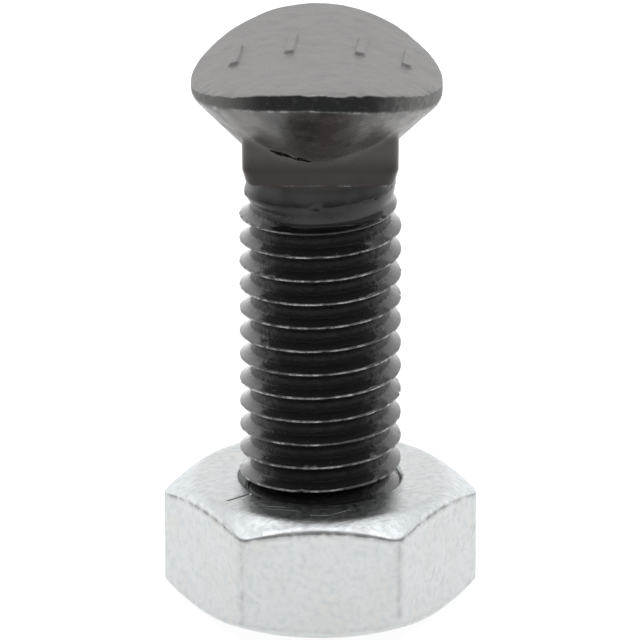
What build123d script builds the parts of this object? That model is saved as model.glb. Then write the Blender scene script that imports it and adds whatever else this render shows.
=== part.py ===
from build123d import *
import os
from math import radians, sqrt, tan

# A plow bolt with its hex nut run on at the threaded end. Z runs up the shank, Z = 0 is the
# nut's outer face with the bolt's end flush in it, and the arched crown of the head is on top.
# The flats of the nut and the neck face -Y and +Y. Millimetres.

# --- bolt, overall
bolt_length = 35.2  # a 35 mm bolt, forged a little over
thread_diameter = 9.85  # over the crests of the M10 thread
blank_diameter = 8.9  # the rolled blank, bare between the thread and the neck
bare_length = 1.0  # from the last full thread to the neck
point_chamfer = 0.8  # at the threaded end

# --- square neck, which stops the bolt turning in its hole
neck_width = 9.5  # across the flats
neck_corner_radius = 0.9
neck_depth = 7.4  # from the crown down to the neck's lower end
neck_tip_height = 1.0  # the lower end is drawn in over this height
neck_tip_inset = 0.25  # and by this much on each side
neck_root = 0.8  # how far the neck's bar runs on into the head
neck_blend = 0.4  # fillet where the flats meet the seat

# --- countersunk head with an arched crown
seat_angle = 90.0  # included angle of the conical seat
seat_point_depth = 10.5  # from the crown down to the point where the cone would end
crown_radius = 15.4  # the crown is an arch about a line along Y
crown_tilt = 1.1  # the struck crown falls towards +Y by this many degrees
rim_land = 1.05  # height of the upright band round the rim
rim_edge_radius = 0.15
head_shift = -0.2  # the forged head sits a little off the shank's axis, along X

# --- hex nut
nut_width = 16.75  # across the flats, for a 17 mm spanner
nut_height = 7.65
nut_corner_radius = 1.0
nut_face_diameter = 15.0  # the flat ring left by the chamfers
nut_chamfer_angle = 30.0
nut_clearance = 0.05  # round the bolt's crests
nut_mouth_depth = 0.45  # countersink at each end of the bore

# --- places that follow from the sizes above
thread_radius = thread_diameter / 2
blank_radius = blank_diameter / 2
neck_bottom = bolt_length - neck_depth
neck_tip_top = neck_bottom + neck_tip_height
thread_top = neck_bottom - bare_length
seat_point = bolt_length - seat_point_depth
seat_slope = tan(radians(seat_angle / 2))
corner_reach = (neck_width / 2 - neck_corner_radius) * sqrt(2) + neck_corner_radius
neck_top = seat_point + corner_reach / seat_slope + neck_root


def arch_plane(crown_height):
    """Plane that looks along the arch's axis, with its origin on the arch's top line."""
    return Plane((head_shift, 0, crown_height), x_dir=(1, 0, 0), z_dir=(0, -1, 0)).rotated(
        (-crown_tilt, 0, 0)
    )


# --- bolt: seat cone trimmed by the arch, then land, neck and shank
with BuildPart() as plow_bolt:
    with BuildSketch(Plane.XZ) as cone_half:
        with BuildLine():
            Polyline(
                (head_shift, seat_point),
                (head_shift + seat_point_depth * seat_slope, bolt_length),
                (head_shift, bolt_length),
                close=True,
            )
        make_face()
    revolve(axis=Axis((head_shift, 0, 0), (0, 0, 1)))

    # an arch, a land's height below the crown, leaves the seat's oval edge
    with BuildSketch(arch_plane(bolt_length - rim_land)) as arch:
        with Locations((0, -crown_radius)):
            Circle(crown_radius)
    extrude(amount=seat_point_depth * seat_slope * 2, both=True, mode=Mode.INTERSECT)

    # the land stands on that edge and carries the crown
    seat_cap = faces().filter_by(GeomType.CYLINDER).sort_by(Axis.Z)[-1]
    extrude(seat_cap, amount=rim_land, dir=(0, 0, 1))
    rims = edges().group_by(SortBy.LENGTH)[-1]
    fillet(rims, rim_edge_radius)

    # square neck, blended into the seat and drawn in at its lower end
    with BuildSketch(Plane.XY.offset(neck_tip_top)) as neck:
        RectangleRounded(neck_width, neck_width, neck_corner_radius)
    extrude(amount=neck_top - neck_tip_top)
    fillet(edges(Select.NEW), neck_blend)
    with BuildSketch(Plane.XY.offset(neck_tip_top)) as neck_tip_root:
        RectangleRounded(neck_width, neck_width, neck_corner_radius)
    with BuildSketch(Plane.XY.offset(neck_bottom)) as neck_tip_end:
        RectangleRounded(
            neck_width - 2 * neck_tip_inset,
            neck_width - 2 * neck_tip_inset,
            neck_corner_radius - neck_tip_inset,
        )
    loft(ruled=True)

    # shank: full thread diameter, then the bare blank up into the neck
    with BuildSketch(Plane.XZ) as shank_half:
        with BuildLine():
            Polyline(
                (0, 0),
                (thread_radius - point_chamfer, 0),
                (thread_radius, point_chamfer),
                (thread_radius, thread_top),
                (blank_radius, thread_top + thread_radius - blank_radius),
                (blank_radius, neck_tip_top),
                (0, neck_tip_top),
                close=True,
            )
        make_face()
    revolve(axis=Axis.Z)

# --- hex nut: a hexagon bar, chamfered at both ends and bored to run on the thread
bore_radius = thread_radius + nut_clearance
face_radius = nut_face_diameter / 2
point_radius = nut_width / sqrt(3)  # over the hexagon's points, were they sharp
chamfer_drop = (point_radius - face_radius) * tan(radians(nut_chamfer_angle))
with BuildPart() as hex_nut:
    with BuildSketch() as hexagon:
        RegularPolygon(nut_width / 2, side_count=6, major_radius=False)
        fillet(vertices(), nut_corner_radius)
    extrude(amount=nut_height)
    with BuildSketch(Plane.XZ) as turned_half:
        with BuildLine():
            Polyline(
                (0, 0),
                (face_radius, 0),
                (point_radius, chamfer_drop),
                (point_radius, nut_height - chamfer_drop),
                (face_radius, nut_height),
                (0, nut_height),
                close=True,
            )
        make_face()
    revolve(axis=Axis.Z, mode=Mode.INTERSECT)
    Hole(bore_radius)
    chamfer(edges(Select.NEW).filter_by(GeomType.CIRCLE), nut_mouth_depth)

# --- the two pieces
os.makedirs("parts", exist_ok=True)
plow_bolt.part.label = "plow_bolt"
export_step(plow_bolt.part, "parts/plow_bolt.step")
hex_nut.part.label = "hex_nut"
export_step(hex_nut.part, "parts/hex_nut.step")
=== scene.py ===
from math import atan2, cos, hypot, pi, radians, sin, sqrt, tan, tau

import bmesh
import bpy
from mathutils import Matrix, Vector, noise


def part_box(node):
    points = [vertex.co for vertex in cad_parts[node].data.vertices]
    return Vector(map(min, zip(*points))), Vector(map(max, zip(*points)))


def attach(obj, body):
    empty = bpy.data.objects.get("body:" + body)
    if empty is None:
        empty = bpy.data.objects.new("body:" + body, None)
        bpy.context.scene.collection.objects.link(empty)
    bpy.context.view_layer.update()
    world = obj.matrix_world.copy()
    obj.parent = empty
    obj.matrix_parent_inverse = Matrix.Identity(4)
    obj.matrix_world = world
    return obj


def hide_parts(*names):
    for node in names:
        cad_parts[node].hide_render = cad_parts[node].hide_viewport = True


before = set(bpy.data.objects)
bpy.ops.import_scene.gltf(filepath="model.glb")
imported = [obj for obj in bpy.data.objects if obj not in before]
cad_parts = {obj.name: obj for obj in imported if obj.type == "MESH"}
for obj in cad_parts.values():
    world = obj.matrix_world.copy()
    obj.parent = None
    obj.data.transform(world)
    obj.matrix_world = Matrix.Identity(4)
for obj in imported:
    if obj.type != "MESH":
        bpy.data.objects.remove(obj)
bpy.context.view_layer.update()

mm = 0.001  # all modelling below is in millimetres
weld = 0.001
sharpAngle = radians(42)
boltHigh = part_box("plow_bolt")[1] / mm
nutLow, nutHigh = [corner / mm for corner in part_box("hex_nut")]

# where the black finish changes: bare edges, dry crown (partly painted light from above), oiled thread,
# forging lap (painted shade in its crack), thread's root and band (painted shade)
finishNames = ("worn", "crown", "oiled", "lap", "groove", "band")


def smoothStep(value, low, high):
    t = min(max((value - low) / (high - low), 0.0), 1.0)
    return t * t * (3 - 2 * t)


def hump(value, riseFrom, riseTo, fallFrom, fallTo):
    return smoothStep(value, riseFrom, riseTo) * (1 - smoothStep(value, fallFrom, fallTo))


def ripple(place, fineness=1.0, offset=(0, 0, 0)):
    return noise.noise(place * fineness + Vector(offset))


def dip(place, level, fineness=1.0, offset=(0, 0, 0)):
    # dents where the ripple lies under a level, and nothing elsewhere
    return min(0.0, ripple(place, fineness, offset) - level)


def towards(theta, azimuth, sharpness):
    # 1 at one azimuth, fading to 0 at the sides
    return max(0.0, cos(theta - azimuth)) ** sharpness


def toObject(bm, name):
    mesh = bpy.data.meshes.new(name)
    bm.to_mesh(mesh)
    bm.free()
    item = bpy.data.objects.new(name, mesh)
    bpy.context.scene.collection.objects.link(item)
    return item


def dropObject(item):
    mesh = item.data
    bpy.data.objects.remove(item)
    bpy.data.meshes.remove(mesh)


def finishMesh(bm, name, material, body, node):
    bmesh.ops.recalc_face_normals(bm, faces=bm.faces)
    bmesh.ops.scale(bm, vec=(mm, mm, mm), verts=bm.verts)
    for face in bm.faces:
        face.smooth = True
    piece = toObject(bm, name)
    piece.data.set_sharp_from_angle(angle=sharpAngle)
    piece.data.materials.append(material)
    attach(piece, body)
    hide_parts(node)
    print(name, "made:", sum(len(face.vertices) - 2 for face in piece.data.polygons), "triangles")


def finishLayers(bm):
    return {name: bm.verts.layers.float.new(name) for name in finishNames}


def subdivideWhere(bm, wanted, cuts):
    edges = {edge for face in bm.faces if wanted(face.calc_center_median()) for edge in face.edges}
    bmesh.ops.subdivide_edges(bm, edges=list(edges), cuts=cuts, use_grid_fill=True)


def segmentDistance(point, start, end):
    # how far a point is from a segment, and how far along it
    along = end - start
    t = min(max((point - start).dot(along) / along.dot(along), 0.0), 1.0)
    return (point - start - along * t).length, t


def divided(start, end, count):
    return [start.lerp(end, i / count) for i in range(1, count)] + [end]


def roundedSection(corners, reaches, steps, runs):
    # a polyline with rounded corners and divided straights
    # a reach is how far from its corner a round begins, or begins and ends
    points = [corners[0]]
    triples = zip(corners, corners[1:], corners[2:])
    for (before, corner, after), reach, count, run in zip(triples, reaches, steps, runs):
        reachIn, reachOut = reach if isinstance(reach, tuple) else (reach, reach)
        start = corner + (before - corner).normalized() * reachIn
        end = corner + (after - corner).normalized() * reachOut
        points += divided(points[-1], start, run)
        for i in range(1, count + 1):
            t = i / count
            points.append(start * (1 - t) ** 2 + corner * 2 * t * (1 - t) + end * t * t)
    return points + divided(points[-1], corners[-1], runs[-1])


def spinSpokes(bm, spokes):
    # a wire is spun to a tube as high as it has rings, then every vertex goes to its place on a spoke
    segments = len(spokes)
    chain = [bm.verts.new((1, 0, ring)) for ring in range(len(spokes[0]))]
    edges = [bm.edges.new(pair) for pair in zip(chain, chain[1:])]
    bmesh.ops.spin(bm, geom=chain + edges, cent=(0, 0, 0), axis=(0, 0, 1), angle=tau, steps=segments,
                   use_merge=True, use_duplicate=False)
    for vert in bm.verts:
        theta = atan2(vert.co.y, vert.co.x)
        ring = round(vert.co.z)
        radius, height = spokes[round(theta / tau * segments) % segments][ring]
        vert.co = Vector((radius * cos(theta), radius * sin(theta), height))
        yield vert, theta, ring


# thread: one pitch of the tooth is spun up the helix
thread = {
    "pitch": 1.5,
    "crestRadius": 4.9,
    "rootRadius": 4.16,
    "crestFlat": 0.09,
    "crestHeight": 1.355,  # a crest crosses the +X side at this height
    "flank": radians(30),
    "turnSteps": 132,
    "spareTurns": 2,  # cut off at both ends
    "weld": 0.002,
    "fullTo": 24.85,  # above this the rolling runs out
    "ridgeGone": 25.3,
    "rootGone": 26.4,
    "blankRadius": 4.5,
    "ridge": 0.12,  # what the run-out leaves of the crest
    "ridgeLoss": 0.08,
    "ridgeFade": (25.8, 27.2),
    "underNeck": 4.46,
    "neckFade": (27.3, 27.7),
    "intoNeck": 0.4,
    "pointRadius": 4.12,  # the chamfer at the threaded end
    "sway": 0.15,  # the run-out isn't quite level
    "wander": 0.01,
    "grit": 0.012,
    "burr": 0.175,
    "burrOver": 0.4,  # where the ripple is over this
    "dent": 0.3,
    "dentOver": 0.38,
    "crestZone": (0.65, 1.0),  # how far up the tooth the wear begins
    "bareCrest": (0.05, 0.005),  # below the crest
    "bareUpTo": (25.05, 25.2),
    "oiledUpTo": (24.8, 26.2),
    "rootFinish": (0.05, 0.25),  # above the root
}


def toothProfile(crestRadius, rootRadius):
    # half a tooth as radius and lift, from the crest's middle down to the root's, then its mirror
    crest, pitch, slope = thread["crestFlat"] / 2, thread["pitch"], tan(thread["flank"])
    deep = crestRadius - rootRadius
    root = crest + deep * slope
    half = [(crestRadius, 0.0), (crestRadius - 0.004, crest * 0.75), (crestRadius - 0.025, crest + 0.012)]
    half += [(crestRadius - down, crest + down * slope) for down in (0.06, deep * 0.3, deep * 0.8)]
    half += [(rootRadius + deep * 0.1, root - 0.01), (rootRadius + 0.02, root + (pitch / 2 - root) * 0.45),
             (rootRadius - 0.01, pitch / 2)]
    return half + [(radius, pitch - lift) for radius, lift in reversed(half[1:-1])]


def helicalRod(crestRadius, rootRadius, bottom, top, shape):
    pitch, steps, spare = thread["pitch"], thread["turnSteps"], thread["spareTurns"]
    firstTurn = int((bottom - thread["crestHeight"]) // pitch) - spare
    turns = int((top - bottom) // pitch) + 2 * spare + 1
    bm = bmesh.new()
    chain = []
    for turn in range(firstTurn, firstTurn + turns):
        for radius, lift in toothProfile(crestRadius, rootRadius):
            chain.append(bm.verts.new((radius, 0, thread["crestHeight"] + turn * pitch + lift)))
    edges = [bm.edges.new(pair) for pair in zip(chain, chain[1:])]
    bmesh.ops.spin(bm, geom=chain + edges, cent=(0, 0, 0), axis=(0, 0, 1), dvec=(0, 0, pitch / steps),
                   angle=tau, steps=steps, use_merge=False, use_duplicate=False)
    bmesh.ops.remove_doubles(bm, verts=bm.verts, dist=thread["weld"])
    for height, upward in ((bottom, 1), (top, -1)):
        bmesh.ops.bisect_plane(bm, geom=bm.verts[:] + bm.edges[:] + bm.faces[:], dist=weld / 2,
                               plane_co=(0, 0, height), plane_no=(0, 0, upward), clear_inner=True)
    for vert in bm.verts:
        radius = hypot(vert.co.x, vert.co.y)
        scale = shape(radius, vert.co) / radius
        vert.co.x *= scale
        vert.co.y *= scale
    bmesh.ops.holes_fill(bm, edges=[edge for edge in bm.edges if edge.is_boundary], sides=0)
    bmesh.ops.recalc_face_normals(bm, faces=bm.faces)
    return bm


def boltThreadShape(radius, place):
    crestRadius, rootRadius, blank = thread["crestRadius"], thread["rootRadius"], thread["blankRadius"]
    height = place.z + ripple(place, 0.4) * thread["sway"]
    tall = (radius - rootRadius) / (crestRadius - rootRadius)
    ridge = blank + thread["ridge"] - thread["ridgeLoss"] * smoothStep(height, *thread["ridgeFade"])
    crest = crestRadius + (ridge - crestRadius) * smoothStep(height, thread["fullTo"], thread["ridgeGone"])
    root = rootRadius + (blank - rootRadius) * smoothStep(height, thread["fullTo"], thread["rootGone"])
    nearNeck = smoothStep(place.z, *thread["neckFade"])
    crest += (thread["underNeck"] - crest) * nearNeck
    root += (thread["underNeck"] - root) * nearNeck
    worn = ripple(place, 1.1) * thread["wander"] + ripple(place, 4.0, (9, 3, 5)) * thread["grit"]
    worn += max(0.0, ripple(place, 2.8, (3, 7, 1)) - thread["burrOver"]) * thread["burr"]
    worn -= max(0.0, ripple(place, 2.4, (5, 1, 8)) - thread["dentOver"]) * thread["dent"]
    radius = root + (crest - root) * tall + smoothStep(tall, *thread["crestZone"]) * worn
    return min(radius, thread["pointRadius"] + place.z)


def growThread():
    crestRadius, rootRadius = thread["crestRadius"], thread["rootRadius"]
    bm = helicalRod(crestRadius, rootRadius, 0.0, head["neckBottom"] + thread["intoNeck"], boltThreadShape)
    layers = finishLayers(bm)
    wornFrom, wornTo = [crestRadius - depth for depth in thread["bareCrest"]]
    rootFrom, rootTo = [rootRadius + rise for rise in thread["rootFinish"]]
    for vert in bm.verts:
        radius, height = hypot(vert.co.x, vert.co.y), vert.co.z
        bare = smoothStep(radius, wornFrom, wornTo)
        vert[layers["worn"]] = bare * (1 - smoothStep(height, *thread["bareUpTo"]))
        vert[layers["oiled"]] = 1 - smoothStep(height, *thread["oiledUpTo"])
        # the thread's root, which also carries painted shade
        vert[layers["groove"]] = 1 - smoothStep(radius, rootFrom, rootTo)
    print("thread:", len(bm.verts), "vertices")
    return bm


# head and neck: rings run from the middle of the crown over the rim and down to the neck's end
head = {
    "shift": -0.2,  # the forged head is a little off the shank's axis
    "crownRise": boltHigh.z - 0.195,  # over the middle; the tilt lifts the near rim higher
    "crownRadius": 15.4,
    "crownTilt": radians(1.1),
    "crownGrain": 0.02,
    "crownGrainTo": 6.8,
    "land": 1.04,
    "landSag": 0.08,  # the band's lower edge hangs a little on the near side
    "landLift": 0.2,  # and is higher at the left, where the seat is slimmer
    "liftAt": radians(205),
    "seatPoint": 24.7,
    "rimSearch": (5.0, 12.0),
    "neckHalf": 4.69,
    "neckCorner": 0.9,
    "neckBottom": 27.8,
    "tipTop": 28.75,
    "tipInset": 0.25,
    "rimRound": 0.12,
    "landRound": 0.09,
    "endRound": 0.25,  # the band's lower edge is rolled over at both ends
    "blend": (0.18, 0.12),  # the seat meets the neck's sides crisply, as reaches up and down
    "nearBlend": (0.72, 0.38),  # and runs out more softly at the near and far flats
    "blendLift": 0.04,
    "neckRounds": (0.12, 0.08),
    "roundSteps": (5, 4, 9, 5, 4),
    "segments": 264,
    "crownRings": 52,
    "landRings": 9,
    "coneRings": 26,
    "neckRings": 16,
    "tipRings": 8,
    "baseRings": 4,
    "wave": 0.05,  # how far the rim wanders
    "waveCircle": 2.2,
    "notch": 0.13,  # small dents in the near rim
    "leftSwell": 0.11,  # the rim is fuller at both ends
    "leftEnd": radians(175),
    "rightSwell": 0.06,
    "rightEnd": 0.0,
    # how far an azimuth turns to the near side, from and to
    "notched": (0.25, 0.6),
    "sagging": (0.75, 1.0),
    "flat": (0.5, 0.9),  # or to the far side
}

marks = {
    "places": (-5.1, -1.75, 2.5, 5.3),  # a plain row of raised bars across the crown
    "middle": 0.6,
    "length": 3.0,
    "lean": 0.25,
    "halfWidth": 0.3,
    "rise": 0.21,
    "soft": 0.08,
    "crownOver": 33.0,
    "within": 7.2,
    "margins": (0.62, 0.5),  # what is subdivided beside and beyond a bar
}

forgingLap = {
    "start": Vector((-2.95, 30.2)),  # along the foot of the seat on the near side, as X and Z
    "end": Vector((-0.6, 29.56)),
    "halfWidth": 0.1,
    "depth": 0.22,
    "wave": 0.14,
    "grit": 0.015,
    "wide": (0.0, 0.15, 0.35, 0.55),  # it opens twice on its way
    "wideAgain": (0.6, 0.72, 0.8, 1.0),
    "againShare": 0.8,
    "leastWidth": 0.4,
    "flatBottom": 0.35,  # as a share of its width
    "shallower": 0.35,  # at its end
    "low": (-3.2, 29.3),
    "high": (-0.4, 30.5),
    "nearSide": -4.0,
}


def crownHeight(radius, theta):
    across = radius * cos(theta) - head["shift"]
    drop = head["crownRadius"] - sqrt(head["crownRadius"] ** 2 - across * across)
    level = head["crownRise"] - radius * sin(theta) * tan(head["crownTilt"])
    return level - drop / cos(head["crownTilt"])


def seatHeight(radius, theta):
    return head["seatPoint"] + hypot(radius * cos(theta) - head["shift"], radius * sin(theta))


def rimRadius(theta):
    # where the seat reaches up to the band, found by halving
    low, high = head["rimSearch"]
    for _ in range(30):
        radius = (low + high) / 2
        if seatHeight(radius, theta) < crownHeight(radius, theta) - head["land"]:
            low = radius
        else:
            high = radius
    return radius


def neckRadius(theta, half):
    # a square with rounded corners
    corner = head["neckCorner"]
    small, large = sorted((abs(cos(theta)), abs(sin(theta))))
    straight = half - corner
    radius = half / large
    if radius * small > straight:
        middle = straight * (large + small)
        radius = middle + sqrt(middle * middle - 2 * straight * straight + corner * corner)
    return radius


def headSpoke(theta):
    # the section at one azimuth, as radius and height
    around = Vector((cos(theta), sin(theta), 0)) * head["waveCircle"]
    wave, nearness = head["wave"], -sin(theta)
    rim = rimRadius(theta) + dip(around, 0.3) * wave
    rim += head["leftSwell"] * towards(theta, head["leftEnd"], 6)
    rim += head["rightSwell"] * towards(theta, head["rightEnd"], 8)
    topWave = (dip(around, 0.4, 1.7, (4, 2, 8)) + dip(around, 0.2, 5.5, (2, 6, 1)) * 0.7) * wave
    notch = dip(around, 0.05, 8.0, (3, 3, 6)) * head["notch"] * smoothStep(nearness, *head["notched"])
    lowWave = ripple(around, 2.3, (1, 9, 4)) + ripple(around, 6.0, (5, 2, 2)) * 0.4
    landLow = seatHeight(rim, theta) + lowWave * wave
    landLow -= head["landSag"] * smoothStep(nearness, *head["sagging"])
    landLow += head["landLift"] * towards(theta, head["liftAt"], 3)
    neck = neckRadius(theta, head["neckHalf"])
    foot = neckRadius(theta, head["neckHalf"] - head["tipInset"])
    inside = rim - head["rimRound"]
    spoke = []
    for i in range(head["crownRings"]):
        t = i / head["crownRings"]
        rise = crownHeight(inside * t, theta) + topWave * smoothStep(t, 0.75, 1.0)
        rise += notch * smoothStep(t, 0.95, 1.0)
        spoke.append(Vector((inside * t, rise)))
    corners = [Vector((inside, crownHeight(inside, theta) + topWave + notch)),
               Vector((rim, crownHeight(rim, theta) + topWave + notch)), Vector((rim, landLow)),
               Vector((neck, seatHeight(neck, theta) + head["blendLift"])), Vector((neck, head["tipTop"])),
               Vector((foot, head["neckBottom"])), Vector((0, head["neckBottom"]))]
    flat = smoothStep(abs(sin(theta)), *head["flat"])
    blend = tuple(reach + flat * more for reach, more in zip(head["blend"], head["nearBlend"]))
    landRound = head["landRound"] + head["endRound"] * abs(cos(theta)) ** 3
    reaches = [head["rimRound"], landRound, blend, *head["neckRounds"]]
    runs = [1] + [head[name + "Rings"] for name in ("land", "cone", "neck", "tip", "base")]
    return spoke + roundedSection(corners, reaches, head["roundSteps"], runs)[1:]


def markRise(x, y):
    rise = 0.0
    half, lean = marks["length"] / 2, marks["lean"] / 2
    width, soft = marks["halfWidth"], marks["soft"]
    for place in marks["places"]:
        start = Vector((place - lean, marks["middle"] - half))
        end = Vector((place + lean, marks["middle"] + half))
        distance = segmentDistance(Vector((x, y)), start, end)[0]
        rise = max(rise, 1 - smoothStep(distance, width - soft, width + soft))
    return rise * marks["rise"]


def lapDepth(place):
    if place.y > 0:
        return 0.0
    wave = noise.noise(Vector((place.x * 1.6, 0, 4))) * forgingLap["wave"]
    wave += noise.noise(Vector((place.x * 4, 3, 0))) * forgingLap["grit"]
    point = Vector((place.x, place.z + wave))
    distance, along = segmentDistance(point, forgingLap["start"], forgingLap["end"])
    swell = hump(along, *forgingLap["wide"]) + forgingLap["againShare"] * hump(along, *forgingLap["wideAgain"])
    width = forgingLap["halfWidth"] * (forgingLap["leastWidth"] + swell)
    gaping = 1 - smoothStep(distance, width * forgingLap["flatBottom"], width)
    return gaping * (1 - forgingLap["shallower"] * along)


def nearMarks(center):
    beside, beyond = marks["margins"]
    return (center.z > marks["crownOver"] and center.xy.length < marks["within"]
            and abs(center.y - marks["middle"]) < marks["length"] / 2 + beyond
            and any(abs(center.x - place) < beside for place in marks["places"]))


def nearLap(center):
    (left, bottom), (right, top) = forgingLap["low"], forgingLap["high"]
    return left < center.x < right and center.y < forgingLap["nearSide"] and bottom < center.z < top


def growHead():
    segments, steps = head["segments"], head["roundSteps"]
    spokes = [headSpoke(tau * i / segments) for i in range(segments)]
    bm = bmesh.new()
    layers = finishLayers(bm)
    # the rings at the middle of the rim's, the band's and the foot's rounds
    rimRing = head["crownRings"] + (steps[0] + 1) // 2
    landRing = head["crownRings"] + steps[0] + head["landRings"] + steps[1] // 2
    footRing = len(spokes[0]) - 1 - head["baseRings"] - steps[-1] // 2
    for vert, _, ring in spinSpokes(bm, spokes):
        pastRim = smoothStep(ring, rimRing - 1.5, rimRing + 1.5)
        # the crown's layer, which also carries its painted light
        vert[layers["crown"]] = 1 - pastRim
        # the band, whose middle also carries painted shade
        vert[layers["band"]] = pastRim * (1 - smoothStep(ring, landRing - 2, landRing + 2))
        offEdge = min(abs(ring - rimRing) / 2.0, abs(ring - landRing) / 2.5, abs(ring - footRing) / 2.5)
        wear = 0.6 + 0.4 * ripple(vert.co, 1.1)
        if ring > landRing + 5:
            wear = smoothStep(ripple(vert.co, 0.9, (7, 2, 5)), -0.25, 0.15)
        vert[layers["worn"]] = max(0.0, 1 - offEdge) * wear
    bmesh.ops.remove_doubles(bm, verts=bm.verts, dist=weld)
    subdivideWhere(bm, nearMarks, 2)
    subdivideWhere(bm, nearLap, 2)
    for vert in bm.verts:
        if vert[layers["crown"]] > 0.5:
            uneven = ripple(vert.co, 0.6) * head["crownGrain"] * (vert.co.xy.length < head["crownGrainTo"])
            vert.co.z += markRise(vert.co.x, vert.co.y) + uneven
        if nearLap(vert.co):
            depth = lapDepth(vert.co)
            vert.co.xy *= 1 - depth * forgingLap["depth"] / vert.co.xy.length
            # the crack's depth, which also sets its painted shade
            vert[layers["lap"]] = depth
    bmesh.ops.recalc_face_normals(bm, faces=bm.faces)
    print("head:", len(bm.verts), "vertices")
    return bm


graph = {}  # the node tree that the helpers below add to


def useTree(tree):
    graph["nodes"], graph["links"] = tree.nodes, tree.links


def newMaterial(name):
    material = bpy.data.materials.new(name)
    material.use_nodes = True
    useTree(material.node_tree)
    return material, graph["nodes"]["Principled BSDF"]


def addNode(kind):
    return graph["nodes"].new("ShaderNode" + kind)


def plug(value, socket):
    # a number or a colour is set, and anything else is linked
    if isinstance(value, (int, float)):
        socket.default_value = value
    elif isinstance(value, tuple):
        socket.default_value = (*value, 1)
    else:
        graph["links"].new(value, socket)


def splitVector(vector):
    parts = addNode("SeparateXYZ")
    plug(vector, parts.inputs[0])
    return [parts.outputs[axis] for axis in "XYZ"]


def readLayer(name):
    layer = addNode("Attribute")
    layer.attribute_name = name
    return layer.outputs["Fac"]


def addNoise(coords, size, detail=3.0, stretch=(1, 1, 1)):
    # size is the grain's size in millimetres
    place = addNode("Mapping")
    place.inputs["Scale"].default_value = [1 / (size * mm) / part for part in stretch]
    plug(coords, place.inputs["Vector"])
    grain = addNode("TexNoise")
    grain.inputs["Scale"].default_value = 1.0
    grain.inputs["Detail"].default_value = detail
    plug(place.outputs["Vector"], grain.inputs["Vector"])
    return grain.outputs["Fac"]


def addTurned(coords, axis, angle):
    turned = addNode("VectorRotate")
    turned.rotation_type = "AXIS_ANGLE"
    turned.inputs["Axis"].default_value = axis
    turned.inputs["Angle"].default_value = angle
    plug(coords, turned.inputs["Vector"])
    return turned.outputs["Vector"]


def addRange(value, low, high, toLow=0.0, toHigh=1.0):
    span = addNode("MapRange")
    span.interpolation_type = "SMOOTHSTEP"
    for name, number in (("From Min", low), ("From Max", high), ("To Min", toLow), ("To Max", toHigh)):
        span.inputs[name].default_value = number
    plug(value, span.inputs["Value"])
    return span.outputs["Result"]


def addSpan(place, low, high, toLow=0.0, toHigh=1.0):
    # a range of places, given in millimetres
    return addRange(place, low * mm, high * mm, toLow, toHigh)


def addMath(operation, first, second=0):
    step = addNode("Math")
    step.operation = operation
    plug(first, step.inputs[0])
    plug(second, step.inputs[1])
    return step.outputs[0]


def times(*factors):
    product = factors[0]
    for factor in factors[1:]:
        product = addMath("MULTIPLY", product, factor)
    return product


def oneMinus(value):
    return addMath("SUBTRACT", 1.0, value)


def larger(first, second):
    return addMath("MAXIMUM", first, second)


def mixColour(amount, first, second):
    mix = addNode("Mix")
    mix.data_type = "RGBA"
    plug(amount, mix.inputs["Factor"])
    plug(first, mix.inputs[6])
    plug(second, mix.inputs[7])
    return mix.outputs[2]


def mixValue(amount, first, second):
    mix = addNode("Mix")
    plug(amount, mix.inputs[0])
    plug(first, mix.inputs[2])
    plug(second, mix.inputs[3])
    return mix.outputs[0]


def addBump(height, depth, before=None):
    bump = addNode("Bump")
    bump.inputs["Distance"].default_value = depth * mm
    plug(height, bump.inputs["Height"])
    if before:
        plug(before, bump.inputs["Normal"])
    return bump.outputs["Normal"]


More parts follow.
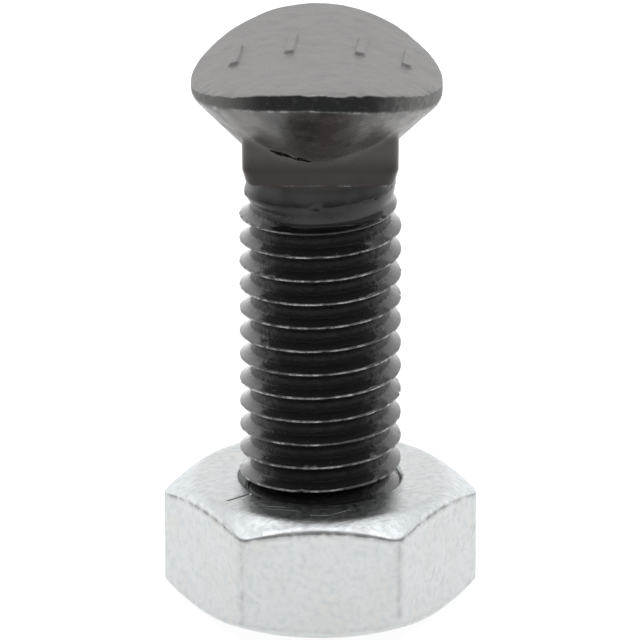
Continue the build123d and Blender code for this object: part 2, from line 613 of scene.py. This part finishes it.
oxide = {
    "dark": (0.006, 0.0064, 0.0064),
    "brown": (0.034, 0.0265, 0.0235),
    "band": (0.0065, 0.0078, 0.0072),
    "bandEnds": (0.055, 0.055, 0.052),
    "bandTips": (0.2, 0.2, 0.196),
    # the crown's grey is partly dust and partly painted light, as the top is lit from above
    "crown": (0.196, 0.19, 0.187),
    "crownDark": (0.163, 0.158, 0.156),
    "bare": (0.42, 0.415, 0.41),
    # painted shade in the forging lap's crack
    "lapShade": (0.002, 0.002, 0.002),
    "ior": 1.55,
    "oilFilm": 0.85,
    "filmRoughness": 0.08,
    "filmIor": 1.42,
    "shadeMetal": 0.7,  # how metallic the painted shade's dark oxide and the bare steel are
    "bareMetal": 0.8,
    "oilFills": 0.75,  # how much of the relief the oil fills
    "grains": {  # size in millimetres, detail and stretch
        "cloud": (3.2, 3),
        "blot": (1.1, 4),
        "grain": (0.13, 5),
        "patch": (0.45, 4),
        "rub": (0.8, 3, (1, 1, 2)),
        "pit": (0.3, 2),
        "scale": (0.2, 3),
        "ring": (0.12, 3, (12, 12, 1)),  # fine rolling lines round the thread
    },
    "streak": (0.4, 4, (4.0, 1.0, 1.0)),
    "streakTurn": radians(25),
    # places in millimetres, from and to, and what they become when that isn't 0 and 1
    "overSeat": (28.8, 30.2, 0.65, 1.0),
    "overNeck": (27.4, 28.0),
    "underSeat": (28.8, 30.0, 0.42, 0.0),
    "nearEnds": (3.0, 6.2),
    "atTips": (7.6, 9.0),
    "atRight": (2.5, 6.0),
    "overBand": (30.2, 31.0),
    "rootSides": (2.3, 3.1),
    # levels of a grain, in the same way
    "brownClouds": (0.35, 0.6, 0.35, 1.0),
    "tipPatches": (0.35, 0.55, 0.4, 1.0),
    "crownMottle": (0.3, 0.6),
    "blotShare": 0.6,
    "bareRubs": (0.38, 0.62, 0.12, 1.0),
    "bareScale": (0.35, 0.6, 0.45, 1.0),
    "rubbedPatches": (0.4, 0.7, 0.0, 0.28),
    "fleckScale": (0.4, 0.7, 0.3, 1.0),
    "fleckPatches": (0.48, 0.68, 0.0, 0.07),
    "sideLitPatches": (0.42, 0.6),
    "neckClouds": (0.35, 0.62, 0.6, 1.4),
    "seatRoughness": (0.35, 0.65, 0.22, 0.34),
    "bandRoughness": (0.3, 0.7, 0.4, 0.6),
    "threadRoughness": (0.4, 0.8, 0.07, 0.17),
    "rootRoughness": (0.3, 0.7, 0.35, 0.6),
    "crownRoughness": (0.2, 0.8, 0.36, 0.5),
    "pits": (0.74, 0.68),
    "pitDepth": 0.01,
    "relief": (  # a grain, where it shows and how deep it is in millimetres
        ("grain", "dry", 0.003),
        ("grain", "crown", 0.005),
        ("blot", "dry", 0.016),
        ("patch", "band", 0.03),
        ("scale", "groove", 0.05),
        ("ring", "oiled", 0.004),
    ),
}


def blackOxide():
    material, shader = newMaterial("blackOxide")
    coords = addNode("TexCoord").outputs["Object"]
    x, _, z = splitVector(coords)
    worn, crown, oiled, lap, groove, band = [readLayer(name) for name in finishNames]
    grains = {name: addNoise(coords, *settings) for name, settings in oxide["grains"].items()}
    cloud, blot, patch, scale = [grains[name] for name in ("cloud", "blot", "patch", "scale")]
    streak = addNoise(addTurned(coords, (0, 0, 1), oxide["streakTurn"]), *oxide["streak"])
    # colour
    onSeat = times(addSpan(z, *oxide["overSeat"]), addSpan(z, *oxide["overNeck"]))
    brownish = times(addRange(cloud, *oxide["brownClouds"]), onSeat, oneMinus(oiled))
    colour = mixColour(brownish, oxide["dark"], oxide["brown"])
    fromMiddle = addMath("ABSOLUTE", addMath("SUBTRACT", x, head["shift"] * mm))
    nearEnds = addSpan(fromMiddle, *oxide["nearEnds"])
    atTips = times(addSpan(fromMiddle, *oxide["atTips"]), addRange(patch, *oxide["tipPatches"]))
    bandColour = mixColour(nearEnds, oxide["band"], oxide["bandEnds"])
    bandColour = mixColour(atTips, bandColour, oxide["bandTips"])
    colour = mixColour(band, colour, bandColour)
    mottled = addMath("ADD", times(streak, 1 - oxide["blotShare"]), times(blot, oxide["blotShare"]))
    # painted light: the crown's grey stands partly for dust and partly for the light the top gets from above
    crownDustAndLight = mixColour(addRange(mottled, *oxide["crownMottle"]), oxide["crownDark"], oxide["crown"])
    colour = mixColour(crown, colour, crownDustAndLight)
    bare = times(worn, addRange(grains["rub"], *oxide["bareRubs"]), addRange(scale, *oxide["bareScale"]))
    # light specks rubbed into the right end of the band and of the seat
    rightEnd = times(addSpan(x, *oxide["atRight"]), addSpan(z, *oxide["overBand"]), oneMinus(crown))
    bare = larger(bare, times(rightEnd, addRange(patch, *oxide["rubbedPatches"])))
    flecks = times(addRange(scale, *oxide["fleckScale"]), addRange(patch, *oxide["fleckPatches"]), band)
    bare = larger(bare, flecks)
    colour = mixColour(bare, colour, oxide["bare"])
    # painted shade darkens the forging lap's crack
    plug(mixColour(lap, colour, oxide["lapShade"]), shader.inputs["Base Color"])
    # painted shade: the oxide on the band's middle, on the neck under the seat and in the thread's root is
    # made a dark metal that gives little back when seen straight on
    # the painted shade thins out in patches at the sides of the root, where the root catches light
    atSides = addSpan(addMath("ABSOLUTE", x), *oxide["rootSides"])
    sideLitPatch = times(atSides, addRange(patch, *oxide["sideLitPatches"]))
    deep = larger(times(band, oneMinus(nearEnds)), times(groove, oneMinus(sideLitPatch)))
    # painted shade on the neck under the seat, in clouds
    neckShade = times(addSpan(z, *oxide["underSeat"]), oneMinus(oiled), addRange(cloud, *oxide["neckClouds"]))
    deep = larger(times(deep, oxide["shadeMetal"]), neckShade)
    plug(larger(deep, times(bare, oxide["bareMetal"])), shader.inputs["Metallic"])
    # gloss
    rough = addRange(blot, *oxide["seatRoughness"])
    rough = larger(rough, times(band, addRange(patch, *oxide["bandRoughness"])))
    onThread = addRange(patch, *oxide["threadRoughness"])
    onThread = larger(onThread, times(groove, addRange(patch, *oxide["rootRoughness"])))
    rough = mixValue(oiled, rough, onThread)
    rough = mixValue(crown, rough, addRange(grains["grain"], *oxide["crownRoughness"]))
    plug(rough, shader.inputs["Roughness"])
    shader.inputs["IOR"].default_value = oxide["ior"]
    film = times(oiled, oneMinus(groove), oneMinus(worn), oxide["oilFilm"])
    plug(film, shader.inputs["Coat Weight"])
    shader.inputs["Coat Roughness"].default_value = oxide["filmRoughness"]
    shader.inputs["Coat IOR"].default_value = oxide["filmIor"]
    # relief
    zones = {"crown": crown, "band": band, "groove": groove, "oiled": oiled}
    zones["dry"] = oneMinus(times(oiled, oxide["oilFills"]))
    relief = None
    for name, zone, depth in oxide["relief"]:
        relief = addBump(times(grains[name], zones[zone]), depth, relief)
    relief = addBump(addRange(grains["pit"], *oxide["pits"]), oxide["pitDepth"], relief)
    plug(relief, shader.inputs["Normal"])
    plug(relief, shader.inputs["Coat Normal"])
    return material


bm = growHead()
threadBm = growThread()
threadMesh = bpy.data.meshes.new("threadRod")
threadBm.to_mesh(threadMesh)
threadBm.free()
bm.from_mesh(threadMesh)
bpy.data.meshes.remove(threadMesh)
finishMesh(bm, "plowBolt", blackOxide(), "bolt", "plow_bolt")

# nut: rings over a hexagon with turned chamfers, then a tap cuts the bore
nut = {
    "height": nutHigh.z - nutLow.z,
    "half": 8.374,
    "corner": 1.0,
    "faceRadius": 7.6,
    "chamfer": radians(27),
    "mouthRadius": 5.08,
    "mouthSpare": 0.3,
    "tapCrest": 5.0,
    "tapRoot": 4.3,
    "tapPast": 0.25,  # the tap reaches out of both faces
    "segments": 240,
    "faceRings": 24,
    "chamferRings": 6,
    "flatRings": 40,
    "roundSteps": (5, 7, 7, 5),
    "faceRound": 0.3,
    "edgeRound": (0.2, 0.16),
    "midEdgeRound": (0.3, 0.12),  # added to it at the middle of each flat
    "midFlat": (radians(8), radians(28)),
    "wave": 0.03,
    "waveCircle": 3.0,
    "topLineRings": 2.5,
    "lowLine": 0.2,
    "lowLineRings": 2,
    "cornerLine": 0.35,
    "cornerWidth": radians(2.0),
}

zinc = {
    "bright": (0.65, 0.675, 0.675),
    "blue": (0.585, 0.625, 0.645),
    "warm": (0.65, 0.655, 0.64),
    # the top chamfer's tone: partly its turned finish, partly a painted sheen of the sky
    "turned": (0.74, 0.78, 0.805),
    "dull": (0.30, 0.32, 0.325),
    "darkLines": (0.16, 0.165, 0.17),
    "grains": {  # size in millimetres, detail and stretch
        "cloud": (2.2, 3),
        "mottle": (0.4, 5),
        "speck": (0.14, 3),
        "edgeBlot": (0.7, 5),
        "upright": (0.14, 4, (1, 1, 9)),
    },
    # dies and files left two sets of fine parallel lines
    "topLines": (0.11, 3, (14, 1, 14)),
    "topTurn": radians(-30),
    "sideLines": (0.15, 3, (9, 1, 1)),
    "sideTurn": radians(-60),
    "sideLean": radians(50),
    # places in millimetres, from and to, and what they become when that isn't 0 and 1
    "onSide": (5.6, 7.4),
    "onTop": (nut["height"] - 0.5, nut["height"] - 0.1),
    "onFace": (nut["height"] - 0.3, nut["height"] - 0.1),
    "underChamfer": (7.0, 6.2),
    "overFoot": (0.5, 1.3, 0.0, 0.13),
    # levels of a grain, in the same way
    "warmClouds": (0.4, 0.65),
    "blueMottle": (0.45, 0.68, 0.0, 0.8),
    "turnedMottle": (0.3, 0.7, 1.0, 0.5),
    "specks": (0.64, 0.74, 0.0, 0.35),
    "sideMarks": (0.6, 0.72, 0.0, 0.5),
    "topMarks": (0.5, 0.68, 0.0, 0.3),
    "edgeBlots": (0.35, 0.6, 0.2, 0.85),
    "roughness": (0.3, 0.7, 0.27, 0.4),
    "turnedRoughness": 0.1,  # more on the turned chamfer
    "mottleDepth": 0.022,
    "uprightDepth": 0.007,
    "topDepth": 0.02,
    "sideDepth": 0.014,
}

scratches = {  # on the top face, as X and Y
    "fromMouth": {"start": (-5.65, -4.35), "end": (-4.2, -3.1), "width": 0.26, "depth": 0.10},
    "rub1": {"start": (-3.5, -5.1), "end": (-2.1, -5.35), "width": 0.10, "depth": -0.05},
    "rub2": {"start": (-3.3, -5.55), "end": (-1.2, -6.0), "width": 0.08, "depth": -0.05},
    "arc1": {"start": (-0.6, -6.75), "end": (0.6, -6.65), "width": 0.10, "depth": -0.06},
    "arc2": {"start": (0.6, -6.65), "end": (1.8, -5.75), "width": 0.09, "depth": -0.06},
}


def addScratch(coords, scratch):
    # how much of a straight scratch covers a point of the top face
    start = Vector(scratch["start"])
    along = Vector(scratch["end"]) - start
    place = addNode("Mapping")
    place.vector_type = "TEXTURE"
    place.inputs["Location"].default_value = (start.x * mm, start.y * mm, 0)
    place.inputs["Rotation"].default_value = (0, 0, atan2(along.y, along.x))
    place.inputs["Scale"].default_value = (along.length * mm, scratch["width"] / 2 * mm, mm)
    plug(coords, place.inputs["Vector"])
    x, y, z = splitVector(place.outputs["Vector"])
    # soft along its sides and at its two ends
    across = addRange(addMath("ABSOLUTE", y), 1.0, 0.3)
    length = times(addRange(x, -0.02, 0.1), addRange(x, 1.02, 0.9))
    return times(across, length, addRange(z, *zinc["onFace"]))


def brightZinc():
    material, shader = newMaterial("brightZinc")
    coords = addNode("TexCoord").outputs["Object"]
    x, _, z = splitVector(coords)
    edge, turnedFinishAndSheen = readLayer("edge"), readLayer("turned")
    grains = {name: addNoise(coords, *settings) for name, settings in zinc["grains"].items()}
    mottle = grains["mottle"]
    topLines = addNoise(addTurned(coords, (0, 0, 1), zinc["topTurn"]), *zinc["topLines"])
    sideCoords = addTurned(addTurned(coords, (0, 0, 1), zinc["sideTurn"]), (0, 1, 0), zinc["sideLean"])
    sideLines = addNoise(sideCoords, *zinc["sideLines"])
    onSide, onTop = addSpan(x, *zinc["onSide"]), addSpan(z, *zinc["onTop"])
    # colour
    colour = mixColour(addRange(grains["cloud"], *zinc["warmClouds"]), zinc["bright"], zinc["warm"])
    colour = mixColour(addRange(mottle, *zinc["blueMottle"]), colour, zinc["blue"])
    # the turned chamfer is brighter and bluer, partly from its turned finish and partly a painted sheen of the
    # sky, and the flats are a little duller
    colour = mixColour(times(turnedFinishAndSheen, addRange(mottle, *zinc["turnedMottle"])), colour, zinc["turned"])
    onFlats = times(addSpan(z, *zinc["underChamfer"]), addSpan(z, *zinc["overFoot"]))
    colour = mixColour(onFlats, colour, zinc["dull"])
    sideMarks = times(onSide, addRange(sideLines, *zinc["sideMarks"]))
    sideMarks = larger(sideMarks, addRange(grains["speck"], *zinc["specks"]))
    colour = mixColour(sideMarks, colour, zinc["dull"])
    colour = mixColour(times(onTop, addRange(topLines, *zinc["topMarks"])), colour, zinc["dull"])
    # darker lines along the nut's edges, broken up by a noise
    colour = mixColour(times(edge, addRange(grains["edgeBlot"], *zinc["edgeBlots"])), colour, zinc["darkLines"])
    cuts = {name: addScratch(coords, scratch) for name, scratch in scratches.items()}
    plug(mixColour(cuts["fromMouth"], colour, zinc["darkLines"]), shader.inputs["Base Color"])
    shader.inputs["Metallic"].default_value = 1
    rough = addMath("ADD", addRange(mottle, *zinc["roughness"]), times(turnedFinishAndSheen, zinc["turnedRoughness"]))
    plug(rough, shader.inputs["Roughness"])
    # relief
    relief = addBump(mottle, zinc["mottleDepth"])
    relief = addBump(grains["upright"], zinc["uprightDepth"], relief)
    relief = addBump(times(topLines, onTop), zinc["topDepth"], relief)
    relief = addBump(times(sideLines, onSide), zinc["sideDepth"], relief)
    for name, scratch in scratches.items():
        relief = addBump(cuts[name], -scratch["depth"], relief)
    plug(relief, shader.inputs["Normal"])
    return material


def fromFlat(theta):
    # the turn from the middle of the nearest flat
    return abs(theta % (pi / 3) - pi / 6)


def hexRadius(theta):
    half, corner = nut["half"], nut["corner"]
    turn = fromFlat(theta)
    radius = half / cos(turn)
    if radius * sin(turn) > (half - corner) * tan(pi / 6):
        middle = (half - corner) / cos(pi / 6)
        off = pi / 6 - turn
        radius = middle * cos(off) + sqrt(corner * corner - (middle * sin(off)) ** 2)
    return radius


def nutSpoke(theta):
    reach = hexRadius(theta)
    around = Vector((cos(theta), sin(theta), 0)) * nut["waveCircle"]
    face = nut["faceRadius"] + ripple(around) * nut["wave"]
    drop = (reach - face) * tan(nut["chamfer"])
    high = nut["height"]
    corners = [Vector((0, high)), Vector((face, high)), Vector((reach, high - drop)),
               Vector((reach, drop)), Vector((face, 0)), Vector((0, 0))]
    middle = 1 - smoothStep(fromFlat(theta), *nut["midFlat"])
    edge = tuple(length + middle * more for length, more in zip(nut["edgeRound"], nut["midEdgeRound"]))
    rounds = [nut["faceRound"], edge, edge[::-1], nut["faceRound"]]
    runs = [nut[name + "Rings"] for name in ("face", "chamfer", "flat", "chamfer", "face")]
    return roundedSection(corners, rounds, nut["roundSteps"], runs)


def growNutBlank():
    segments, steps = nut["segments"], nut["roundSteps"]
    spokes = [nutSpoke(tau * i / segments) for i in range(segments)]
    bm = bmesh.new()
    edgeLayer = bm.verts.layers.float.new("edge")
    turnedAndSheenLayer = bm.verts.layers.float.new("turned")
    # the flats' first and last rings, where they meet the two chamfers
    topEdge = nut["faceRings"] + steps[0] + nut["chamferRings"] + steps[1] - 1
    lowEdge = topEdge + nut["flatRings"] + 1
    for vert, theta, ring in spinSpokes(bm, spokes):
        onTop = 1 - abs(ring - topEdge) / nut["topLineRings"]
        onFoot = (1 - abs(ring - lowEdge) / nut["lowLineRings"]) * nut["lowLine"]
        onCorner = 0.0
        if topEdge <= ring <= lowEdge:
            onCorner = (1 - abs(fromFlat(theta) - pi / 6) / nut["cornerWidth"]) * nut["cornerLine"]
        # darker lines along the top edge, a little along the foot, and down the corners
        vert[edgeLayer] = max(0.0, onTop, onFoot, onCorner)
        # the top chamfer's rings, for its turned finish and its painted sheen
        vert[turnedAndSheenLayer] = hump(ring, nut["faceRings"], nut["faceRings"] + 8, topEdge - 5, topEdge - 1)
    bmesh.ops.remove_doubles(bm, verts=bm.verts, dist=weld)
    bmesh.ops.recalc_face_normals(bm, faces=bm.faces)
    return bm


def tapShape(radius, place):
    # the two mouths are countersunk by the same tool
    inside = min(place.z, nut["height"] - place.z)
    return max(radius, nut["mouthRadius"] + min(-inside, nut["mouthSpare"]))


def cutAway(bm, toolBm):
    block = toObject(bm, "block")
    tool = toObject(toolBm, "tool")
    cut = block.modifiers.new("cut", "BOOLEAN")
    cut.operation = "DIFFERENCE"
    cut.solver = "EXACT"
    cut.object = tool
    result = bpy.data.meshes.new_from_object(block.evaluated_get(bpy.context.evaluated_depsgraph_get()))
    dropObject(block)
    dropObject(tool)
    bm = bmesh.new()
    bm.from_mesh(result)
    bpy.data.meshes.remove(result)
    return bm


tap = helicalRod(nut["tapCrest"], nut["tapRoot"], -nut["tapPast"], nut["height"] + nut["tapPast"], tapShape)
finishMesh(cutAway(growNutBlank(), tap), "hexNut", brightZinc(), "nut", "hex_nut")

# floor, light and camera, in metres
studio = {
    "floorSize": 3.0,
    "floorDrop": 0.00002,  # clear of the bolt's end
    "floorColour": (0.34, 0.34, 0.34, 1),
    "floorRoughness": 0.9,
    "floorGlow": 0.8,  # the table is lit from below
    "wall": 1.14,
    "wallFrom": (0.2, 0.36),  # how far a direction turns to the back
    "panel": 1.6,
    "panelsFrom": (0.75, 0.45),
    "room": 0.45,
    "gap": 0.45,
    "gapFrom": (0.6, 0.66),  # how far a direction turns up
    "sky": 1.35,
    "skyFrom": (0.78, 0.92),
    "softboxPlace": (0, 0.05, 0.6),
    "softboxAim": (0, 0, 0),
    "softboxSize": (0.26, 0.22),
    "softboxPower": 0.7,
    "lens": 505.5,
    "sensor": 36,
    "distance": 0.545,
    "elevation": radians(19.9),
    "aim": (-0.000024, 0, 0.01775),
}


def makeFloor():
    bm = bmesh.new()
    bmesh.ops.create_grid(bm, x_segments=2, y_segments=2, size=studio["floorSize"] / 2)
    bmesh.ops.translate(bm, verts=bm.verts, vec=(0, 0, -studio["floorDrop"]))
    floor = toObject(bm, "studioFloor")
    material, shader = newMaterial("paleFloor")
    shader.inputs["Base Color"].default_value = studio["floorColour"]
    shader.inputs["Roughness"].default_value = studio["floorRoughness"]
    shader.inputs["Emission Color"].default_value = (1, 1, 1, 1)
    shader.inputs["Emission Strength"].default_value = studio["floorGlow"]
    floor.data.materials.append(material)


def makeWorld():
    # a pale wall behind, two brighter panels beside it, a dimmer room in front and a pale ceiling
    world = bpy.data.worlds.new("studio")
    bpy.context.scene.world = world
    world.use_nodes = True
    useTree(world.node_tree)
    background = graph["nodes"]["Background"]
    background.inputs["Color"].default_value = (1, 1, 1, 1)
    x, y, z = splitVector(addNode("TexCoord").outputs["Generated"])
    level = addNode("CombineXYZ")
    plug(x, level.inputs["X"])
    plug(y, level.inputs["Y"])
    unit = addNode("VectorMath")
    unit.operation = "NORMALIZE"
    plug(level.outputs[0], unit.inputs[0])
    back = splitVector(unit.outputs[0])[1]
    panels = addRange(back, *studio["panelsFrom"], studio["wall"], studio["panel"])
    lit = larger(times(addRange(back, *studio["wallFrom"]), panels), studio["room"])
    # a dim gap lies between the wall's top and the ceiling
    low = times(lit, addRange(z, *studio["gapFrom"], 1.0, studio["gap"]))
    high = times(addRange(z, *studio["skyFrom"]), studio["sky"])
    plug(addMath("ADD", low, high), background.inputs["Strength"])


def turnTo(item, direction):
    item.rotation_euler = direction.to_track_quat("-Z", "Y").to_euler()
    bpy.context.scene.collection.objects.link(item)


def makeSoftbox():
    lamp = bpy.data.lights.new("overhead", "AREA")
    lamp.shape = "RECTANGLE"
    lamp.size, lamp.size_y = studio["softboxSize"]
    lamp.energy = studio["softboxPower"]
    box = bpy.data.objects.new("overhead", lamp)
    box.location = studio["softboxPlace"]
    turnTo(box, Vector(studio["softboxAim"]) - Vector(studio["softboxPlace"]))


def makeCamera():
    data = bpy.data.cameras.new("camera")
    data.lens = studio["lens"]
    data.sensor_width = studio["sensor"]
    camera = bpy.data.objects.new("camera", data)
    away = Vector((0, -cos(studio["elevation"]), sin(studio["elevation"])))
    camera.location = Vector(studio["aim"]) + away * studio["distance"]
    turnTo(camera, -away)
    bpy.context.scene.camera = camera


makeFloor()
makeWorld()
makeSoftbox()
makeCamera()
bpy.context.scene.view_settings.view_transform = "Standard"
print("studio made")
